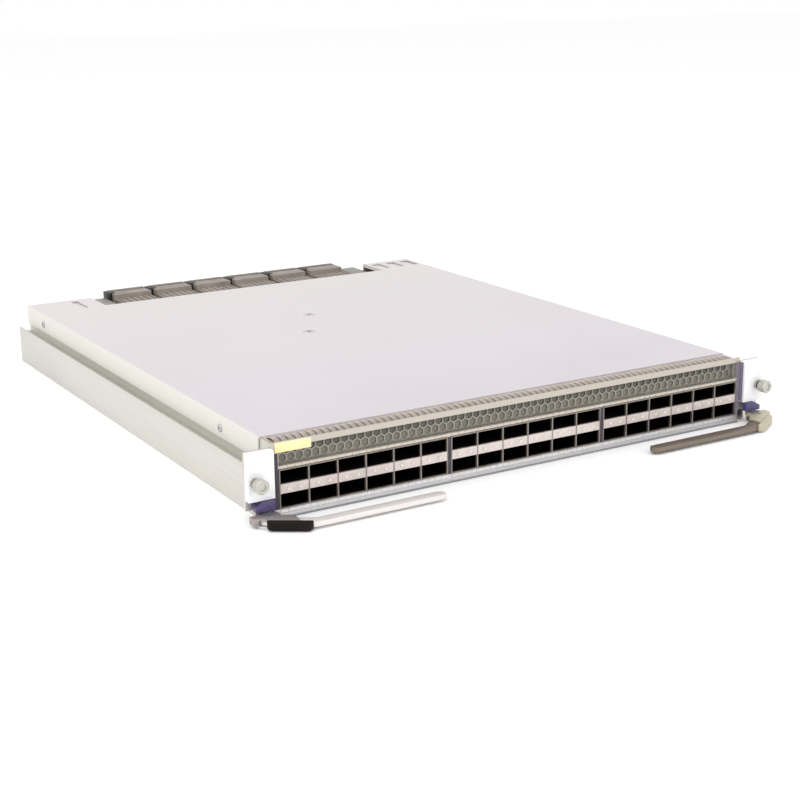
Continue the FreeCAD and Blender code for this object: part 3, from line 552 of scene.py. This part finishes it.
# %% [markdown]
# ## Painted shade strips and filter
# Thin strips carry painted shade where the face and the ears stand in shade. Dark strips run up
# the left end of the face, in the shade of the left ear, and between the port groups. Lavender
# strips run up its right end and the inner side of each ear. A slim grey strip of painted shade
# runs along the front edge of the lip. Behind the grille a sheet of light foam stands for what
# makes the vent look grey and not black; its colour is blended darker towards its top, as
# painted shade under the top flange.

# %% Painted shade strips and filter
def add_box(bm, low_mm, high_mm):
    """Adds a box between two corners in millimetres."""
    low, high = Vector(low_mm) * MM, Vector(high_mm) * MM
    made = bmesh.ops.create_cube(bm, size=1.0)
    bmesh.ops.scale(bm, vec=high - low, verts=made["verts"])
    bmesh.ops.translate(bm, vec=(low + high) / 2, verts=made["verts"])


def soft_block(name, low_mm, high_mm, material, round_mm=0.15):
    """A box with rounded edges, fixed to the card."""
    bm = bmesh.new()
    add_box(bm, low_mm, high_mm)
    bmesh.ops.bevel(bm, geom=list(bm.edges), offset=round_mm * MM, offset_type="OFFSET",
                    segments=2, profile=0.5, affect="EDGES", clamp_overlap=True, material=-1)
    mesh = mesh_from(bm, name, BEVEL_SHARP)
    mesh.materials.append(material)
    piece = bpy.data.objects.new(name, mesh)
    bpy.context.scene.collection.objects.link(piece)
    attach(piece, CARD)


# Strips of painted shade at both ends of the face and between the port groups.
UPRIGHTS = (
    ("end_left", -182.8, -178.4, 38.6, DARK_SHADE),
    ("end_right", 179.9, 181.3, 42.0, LAVENDER_SHADE),
    ("groups_1", -60.2, -58.2, 28.4, DARK_SHADE),
    ("groups_2", 59.8, 61.8, 28.4, DARK_SHADE),
)
for name, x0, x1, top, finish in UPRIGHTS:
    soft_block("painted_shade_strip_" + name, (x0, -0.45, 4.0), (x1, 0.0, top), finish)
# Strips of painted shade on the inner side of each ear.
for side, name in SIDES:
    inner = sorted((side * 182.6, side * 183.0))
    soft_block("ear_painted_shade_" + name, (inner[0], -3.4, 14.0), (inner[1], 0.0, 42.0), LAVENDER_SHADE,
               0.1)
# A strip of painted shade along the front edge of the lip.
soft_block("lip_painted_shade", (-176.0, -5.3, 0.15), (178.0, -5.0, 1.2), LIP_SHADE, 0.1)
# The foam's colour carries painted shade at its top.
soft_block("filter_foam", (-179.4, 6.0, 29.8), (179.4, 12.0, 41.8), FILTER)
print("gaskets and filter made")

# %% [markdown]
# ## Collar fingers and contacts
# A row of small sprung fingers runs along the upper and the lower edge of each port group and
# grounds the cage to the face. Deep in each port two rows of gold contacts stand in the slot of
# the receptacle, where a lamp held to the port would show them.

# %% Collar fingers and contacts
PORT_PITCH = 19.5
COLUMNS = 6
ROW_MIDDLES = (9.1, 23.5)
FIRST_PORT = 10.05
FINGER_PITCH = PORT_PITCH / 4
FINGER_WIDTH = 4.62
FINGER_ROWS = ((1.7, 3.7), (28.9, 30.4))
CONTACTS = 10
CONTACT_PITCH = 0.8
GROUPS = [[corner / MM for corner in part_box("port_cage_%d" % group)] for group in (1, 2, 3)]


def plain_blocks(name, boxes, node, material):
    """Many small boxes in millimetres as one piece, on the body of a node."""
    bm = bmesh.new()
    for low_mm, high_mm in boxes:
        add_box(bm, low_mm, high_mm)
    place_piece(name, mesh_from(bm, name), node, material)


def collar_fingers():
    boxes = []
    for low, high in GROUPS:
        for i in range(int((high.x - low.x) / FINGER_PITCH)):
            x0 = low.x + 0.9 + i * FINGER_PITCH
            for z0, z1 in FINGER_ROWS:
                boxes.append(((x0, -0.35, z0), (x0 + FINGER_WIDTH, 0.0, z1)))
    return boxes


def receptacle_contacts():
    boxes = []
    for low, high in GROUPS:
        for column in range(COLUMNS):
            middle = low.x + FIRST_PORT + column * PORT_PITCH
            for row in ROW_MIDDLES:
                for i in range(CONTACTS):
                    x = middle + (i - (CONTACTS - 1) / 2) * CONTACT_PITCH
                    for z in (row - 0.8, row + 0.6):
                        boxes.append(((x - 0.2, 36.6, z), (x + 0.2, 43.0, z + 0.2)))
    return boxes


fingers = collar_fingers()
contacts = receptacle_contacts()
plain_blocks("collar_fingers", fingers, "port_cage_1", COLLAR)
plain_blocks("receptacle_contacts", contacts, "port_connectors_1", GOLD)
print("collar fingers", len(fingers), "contacts", len(contacts))

# %% [markdown]
# ## Small parts at the rear
# The cover is slotted and cut out at the rear, so one sees a little of what lies below. Plated
# stiffeners lie right under the slots, and an angle carries each guide socket. Each backplane
# connector has a dark organiser strip along its rear edge, and a dark key that fills the gap at
# its left end. SLIDE is the play between a key and its connector.

# %% Small parts at the rear
SLIDE = 0.2
for name, x0, x1, front in (("right", 133.3, 179.0, 413.0), ("left", -152.0, -126.5, 409.0)):
    soft_block("slot_stiffener_" + name, (x0, front, 42.8), (x1, 444.6, 43.6), COVER)
for side, name in SIDES:
    low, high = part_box("guide_socket_" + name)
    x0, x1 = low.x / MM - 0.6, high.x / MM + 0.6
    soft_block("guide_ledge_" + name, (x0, 412.4, 37.2), (x1, 429.6, 38.0), COVER)
    soft_block("guide_leg_" + name, (x0, 412.4, 4.2), (x1, 413.2, 37.2), COVER)
for number in range(1, 7):
    low, high = [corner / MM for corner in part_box("fabric_connector_%d" % number)]
    soft_block("organiser_%d" % number, (low.x + 0.4, high.y - 5.6, high.z),
               (high.x - 0.4, high.y - 0.2, high.z + 0.4), ORGANISER, 0.1)
    soft_block("key_%d" % number, (low.x - 3.8, high.y - 13.0, 26.0),
               (low.x - SLIDE, high.y - 1.0, high.z + 0.3), POWER, 0.4)
    soft_block("key_cap_%d" % number, (low.x - SLIDE, high.y - 13.0, high.z),
               (low.x + 3.0, high.y - 6.0, high.z + 0.3), POWER, 0.1)
print("rear pieces made")

# %% [markdown]
# ## Captive screws
# The head of a captive screw is a turned cup with a straight knurl for the fingers. The solid has
# a smooth cup, so here its profile is spun again and every other row of the rim is moved in to
# make the knurl. The thread is a row of ridges, because a ridge and a helix look alike at this
# size.

# %% Knurled screws
KNURL_TEETH = 36
KNURL_DEPTH = 0.22 * MM


def spun(bm, outline, steps, centre, axis=(0, 1, 0)):
    """Spins an outline of (radius, level) about an axis through the centre."""
    axis = Vector(axis)
    across = Vector((0, 1, 0)) if axis.x else Vector((1, 0, 0))
    verts = [bm.verts.new(centre + across * radius + axis * level) for radius, level in outline]
    edges = [bm.edges.new(pair) for pair in zip(verts, verts[1:])]
    bmesh.ops.spin(bm, geom=verts + edges, cent=centre, axis=axis, dvec=(0, 0, 0),
                   angle=2 * math.pi, steps=steps, use_merge=True, use_duplicate=False)
    bmesh.ops.remove_doubles(bm, verts=bm.verts, dist=0.001 * MM)


def turned_mesh(bm, name, sharp_degrees=30):
    bmesh.ops.recalc_face_normals(bm, faces=bm.faces)
    return mesh_from(bm, name, sharp_degrees)


def knurled_screw(name):
    node = "captive_screw_" + name
    low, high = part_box(node)
    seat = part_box("spring_washer_" + name)[0].y
    centre = Vector(((low.x + high.x) / 2, 0, (low.z + high.z) / 2))
    head = (high.x - low.x) / 2
    neck, thread = 1.15 * MM, 1.5 * MM
    cup, rim = head - 0.8 * MM, low.y + 6.0 * MM
    thread_start, pitch = 2.2 * MM, 0.5 * MM
    outline = [(0, low.y + 0.8 * MM), (1.9 * MM, low.y + 0.8 * MM), (2.2 * MM, low.y),
               (head - 0.5 * MM, low.y), (head, low.y + 0.5 * MM), (head, rim - 0.4 * MM),
               (head - 0.3 * MM, rim), (cup, rim), (cup, seat), (neck, seat),
               (neck, thread_start)]
    y = thread_start
    while y < high.y - 0.8 * MM:
        outline += [(thread - 0.28 * MM, y), (thread, y + pitch / 2)]
        y += pitch
    outline += [(thread - 0.3 * MM, y), (thread - 0.6 * MM, high.y), (0, high.y)]
    bm = bmesh.new()
    spun(bm, outline, 2 * KNURL_TEETH, centre)
    for vert in bm.verts:
        across = Vector((vert.co.x - centre.x, 0, vert.co.z - centre.z))
        row = round(math.atan2(across.z, across.x) / math.pi * KNURL_TEETH)
        if across.length > head - 0.05 * MM and row % 2:
            vert.co -= across.normalized() * KNURL_DEPTH
    mesh = turned_mesh(bm, node + "_knurled", 28)
    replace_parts(place_piece(node + "_knurled", mesh, node, KNOB), node)
    return len(mesh.polygons)


print("faces of the screws", [knurled_screw(name) for side, name in SIDES])

# %% [markdown]
# ## Springs of the screws
# The spring behind each knob is round wire. A spin that also climbs along the axis carries a
# small circle along a helix, and the two open ends are filled. The spring stays on the card. On
# the real card it is squeezed against the ferrule as the screw is pressed in; here each spring
# only gets a mesh of its own.

# %% Springs of the screws
WIRE_RADIUS = 0.25 * MM
SPRING_TURNS = 3.5
STEPS_A_TURN = 28


def wire_spring(name):
    node = "screw_spring_" + name
    low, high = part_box(node)
    centre = (low + high) / 2
    length = high.y - low.y
    steps = int(STEPS_A_TURN * SPRING_TURNS)
    climb = (length - 2 * WIRE_RADIUS) / steps
    bm = bmesh.new()
    made = bmesh.ops.create_circle(bm, radius=WIRE_RADIUS, segments=8)
    bmesh.ops.translate(bm, verts=made["verts"],
                        vec=(high.x - WIRE_RADIUS, low.y + WIRE_RADIUS, centre.z))
    bmesh.ops.spin(bm, geom=bm.verts[:] + bm.edges[:], cent=centre, axis=(0, 1, 0),
                   dvec=(0, climb, 0), angle=2 * math.pi * SPRING_TURNS, steps=steps,
                   use_merge=False, use_duplicate=False)
    bmesh.ops.holes_fill(bm, edges=[edge for edge in bm.edges if edge.is_boundary])
    piece = place_piece("wire_" + node, turned_mesh(bm, "wire_" + node, 60), node, WIRE)
    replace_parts(piece, node)
    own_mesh(piece)
    return length / MM


print("spring lengths", [round(wire_spring(name), 2) for side, name in SIDES])

# %% [markdown]
# ## Cover screws
# Each screw that holds the cover is turned again from its box in the solids, now with a round
# socket. The screws are separate solids of one node, so the mesh is walked from vertex to vertex
# to find the box of each one. Its longest side tells the axis of the two on top, and those at
# the sides point outwards along X.

# %% Cover screws
def separate_boxes(node):
    """The box of each loose solid in a node's mesh, as (low, high), in a fixed order."""
    bm = merged_copy(node)
    todo, boxes = set(bm.verts), []
    while todo:
        island, reached = set(), [todo.pop()]
        while reached:
            vert = reached.pop()
            island.add(vert)
            for edge in vert.link_edges:
                other = edge.other_vert(vert)
                if other in todo:
                    todo.discard(other)
                    reached.append(other)
        boxes.append((Vector([min(v.co[i] for v in island) for i in range(3)]),
                      Vector([max(v.co[i] for v in island) for i in range(3)])))
    bm.free()
    return sorted(boxes, key=lambda box: tuple(box[0]))


def cover_screws():
    bm = bmesh.new()
    boxes = separate_boxes("cover_screws")
    for low, high in boxes:
        middle = (low + high) / 2
        if high.z - low.z > high.x - low.x:
            axis, centre = Vector((0, 0, 1)), Vector((middle.x, middle.y, high.z))
            radius = (high.x - low.x) / 2
            length = high.z - low.z
        else:
            side = 1 if middle.x > 0 else -1
            axis = Vector((side, 0, 0))
            centre = Vector((high.x if side > 0 else low.x, middle.y, middle.z))
            radius = (high.y - low.y) / 2
            length = high.x - low.x
        head = min(1.2 * MM, length / 3)
        bore = radius * 0.45
        outline = [(0, -length), (radius * 0.5, -length), (radius * 0.5, -head),
                   (radius, -head), (radius, -0.35 * MM), (radius - 0.35 * MM, 0), (bore, 0),
                   (bore, -head * 0.6), (0, -head * 0.6)]
        spun(bm, outline, 24, centre, axis)
    mesh = turned_mesh(bm, "cover_screws_turned")
    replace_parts(place_piece("cover_screws_turned", mesh, "cover_screws", SCREW), "cover_screws")
    return boxes


screw_boxes = cover_screws()
print("cover screws", [[round(v / MM, 1) for v in low] for low, high in screw_boxes])

# %% [markdown]
# ## Washers on the cover
# The two screws on top of the cover each sit in a flat washer, which shows as a soft grey spot.
# A washer is a low ring with a sloped rim, spun about the screw's axis.

# %% Washers on the cover
WASHER_THICK = 0.2 * MM
WASHER_TOP = 5.0 * MM
WASHER_FOOT = 5.2 * MM


def top_washers(boxes):
    bm = bmesh.new()
    top = max(high.z for low, high in boxes)
    for low, high in boxes:
        if high.z < top - MM:
            continue
        centre = Vector(((low.x + high.x) / 2, (low.y + high.y) / 2, high.z))
        inner = (high.x - low.x) / 2
        outline = [(inner, 0), (inner, WASHER_THICK), (WASHER_TOP, WASHER_THICK),
                   (WASHER_FOOT, 0)]
        spun(bm, outline, 32, centre, (0, 0, 1))
    return place_piece("top_washers", turned_mesh(bm, "top_washers"), "cover_screws", WASHER)


print("washers", len(top_washers(screw_boxes).data.polygons), "faces")

# %% [markdown]
# ## Screws under the tray
# The board's standoffs are held from below by screws with flat heads, which lie almost flush in
# the tray's floor. One head is turned below each standoff.

# %% Screws under the tray
HEAD_RADIUS = 3.0 * MM
HEAD_PROUD = 0.05 * MM


def tray_screws():
    bm = bmesh.new()
    count = 0
    for low, high in separate_boxes("board_standoffs"):
        centre = Vector(((low.x + high.x) / 2, (low.y + high.y) / 2, -HEAD_PROUD))
        outline = [(0, -0.3 * MM), (HEAD_RADIUS, -0.3 * MM), (HEAD_RADIUS, -0.02 * MM),
                   (HEAD_RADIUS - 0.1 * MM, 0), (1.3 * MM, 0), (1.2 * MM, -0.25 * MM),
                   (0, -0.25 * MM)]
        spun(bm, outline, 18, centre, (0, 0, -1))
        count += 1
    place_piece("tray_screws", turned_mesh(bm, "tray_screws"), "cover_screws", SCREW)
    return count


print("screws under the tray", tray_screws())

# %% [markdown]
# ## Floor and light
# The photograph is a bright product shot on white. A large pale floor and a white world give the
# even light, one big soft lamp from the upper left gives the cover its tone, and a weaker one in
# front keeps the face readable.

# %% Floor and light
bm = bmesh.new()
bmesh.ops.create_grid(bm, x_segments=1, y_segments=1, size=6.0)
bmesh.ops.translate(bm, verts=bm.verts, vec=(0, 0, -0.2 * MM))
floor_mesh = mesh_from(bm, "studio_floor")
floor = bpy.data.objects.new("studio_floor", floor_mesh)
bpy.context.scene.collection.objects.link(floor)
floor_material, _, floor_shader, _ = start_material("pale_floor")
floor_shader.inputs["Base Color"].default_value = linear("FCFCFC")
floor_shader.inputs["Roughness"].default_value = 0.9
floor_mesh.materials.append(floor_material)

world = bpy.data.worlds.new("studio")
bpy.context.scene.world = world
world.use_nodes = True
background = world.node_tree.nodes["Background"]
background.inputs["Color"].default_value = linear("FFFFFF")
background.inputs["Strength"].default_value = 1.0


def soft_lamp(name, place, target, size, watts):
    data = bpy.data.lights.new(name, "AREA")
    data.shape = "SQUARE"
    data.size = size
    data.energy = watts
    lamp = bpy.data.objects.new(name, data)
    lamp.location = place
    lamp.rotation_euler = (Vector(target) - Vector(place)).to_track_quat("-Z", "Y").to_euler()
    bpy.context.scene.collection.objects.link(lamp)


soft_lamp("key", (-1.3, -0.5, 1.9), (0, 0.2, 0), 2.2, 20)
soft_lamp("fill", (0.6, -1.9, 0.9), (0, 0, 0), 1.4, 8)
bpy.context.scene.view_settings.view_transform = "Standard"
print("floor, world and lamps ready")

# %% [markdown]
# ## Last step

# %% Finish
print("finished")
